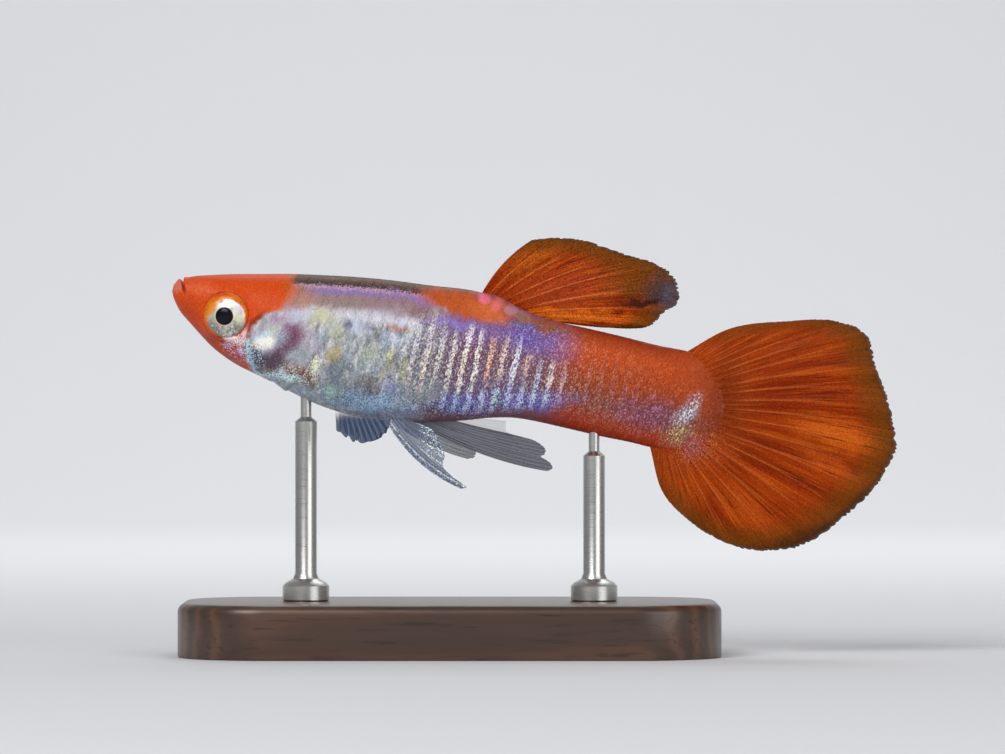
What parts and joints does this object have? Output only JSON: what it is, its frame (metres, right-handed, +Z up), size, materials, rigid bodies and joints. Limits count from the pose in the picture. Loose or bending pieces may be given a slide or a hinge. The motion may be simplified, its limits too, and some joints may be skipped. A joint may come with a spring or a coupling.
{
  "type": "snakeskin guppy",
  "caption": "Life-size still model of a male fancy guppy with orange head and fins and a silver barred flank, held level above a flat base by short rods.",
  "frame": {"origin": "middle of the underside of the stand's base", "axes": "+X along the fish from snout to tail, +Z up, -Y the side of the fish that the picture shows"},
  "size_m": [0.0399, 0.015, 0.0231],
  "materials": {
    "orange_skin": "wet orange-red skin under fine scales",
    "silver_skin": "silver skin with blue, violet and gold iridescence",
    "orange_fin": "orange fin membrane with fine rays and a dark ragged edge",
    "clear_fin": "nearly clear fin membrane with pale glinting rays",
    "eye": "wet glossy eye with a silver iris and a black pupil",
    "rod_steel": "satin turned steel",
    "base_wood": "dark satin-varnished walnut"
  },
  "bodies": {
    "root": {"head": "orange_skin", "lower_jaw": "orange_skin", "gill_cover_left": "silver_skin", "gill_cover_right": "silver_skin", "trunk": "silver_skin", "tail_stalk": "orange_skin", "eye_left": "eye", "eye_right": "eye", "tail_fin": "orange_fin", "dorsal_fin": "orange_fin", "gonopodium": "clear_fin", "pectoral_fin_left": "clear_fin", "pectoral_fin_right": "clear_fin", "pelvic_fin_left": "clear_fin", "pelvic_fin_right": "clear_fin", "stand_base": "base_wood", "stand_rod_front": "rod_steel", "stand_rod_rear": "rod_steel"}
  },
  "joints": []
}
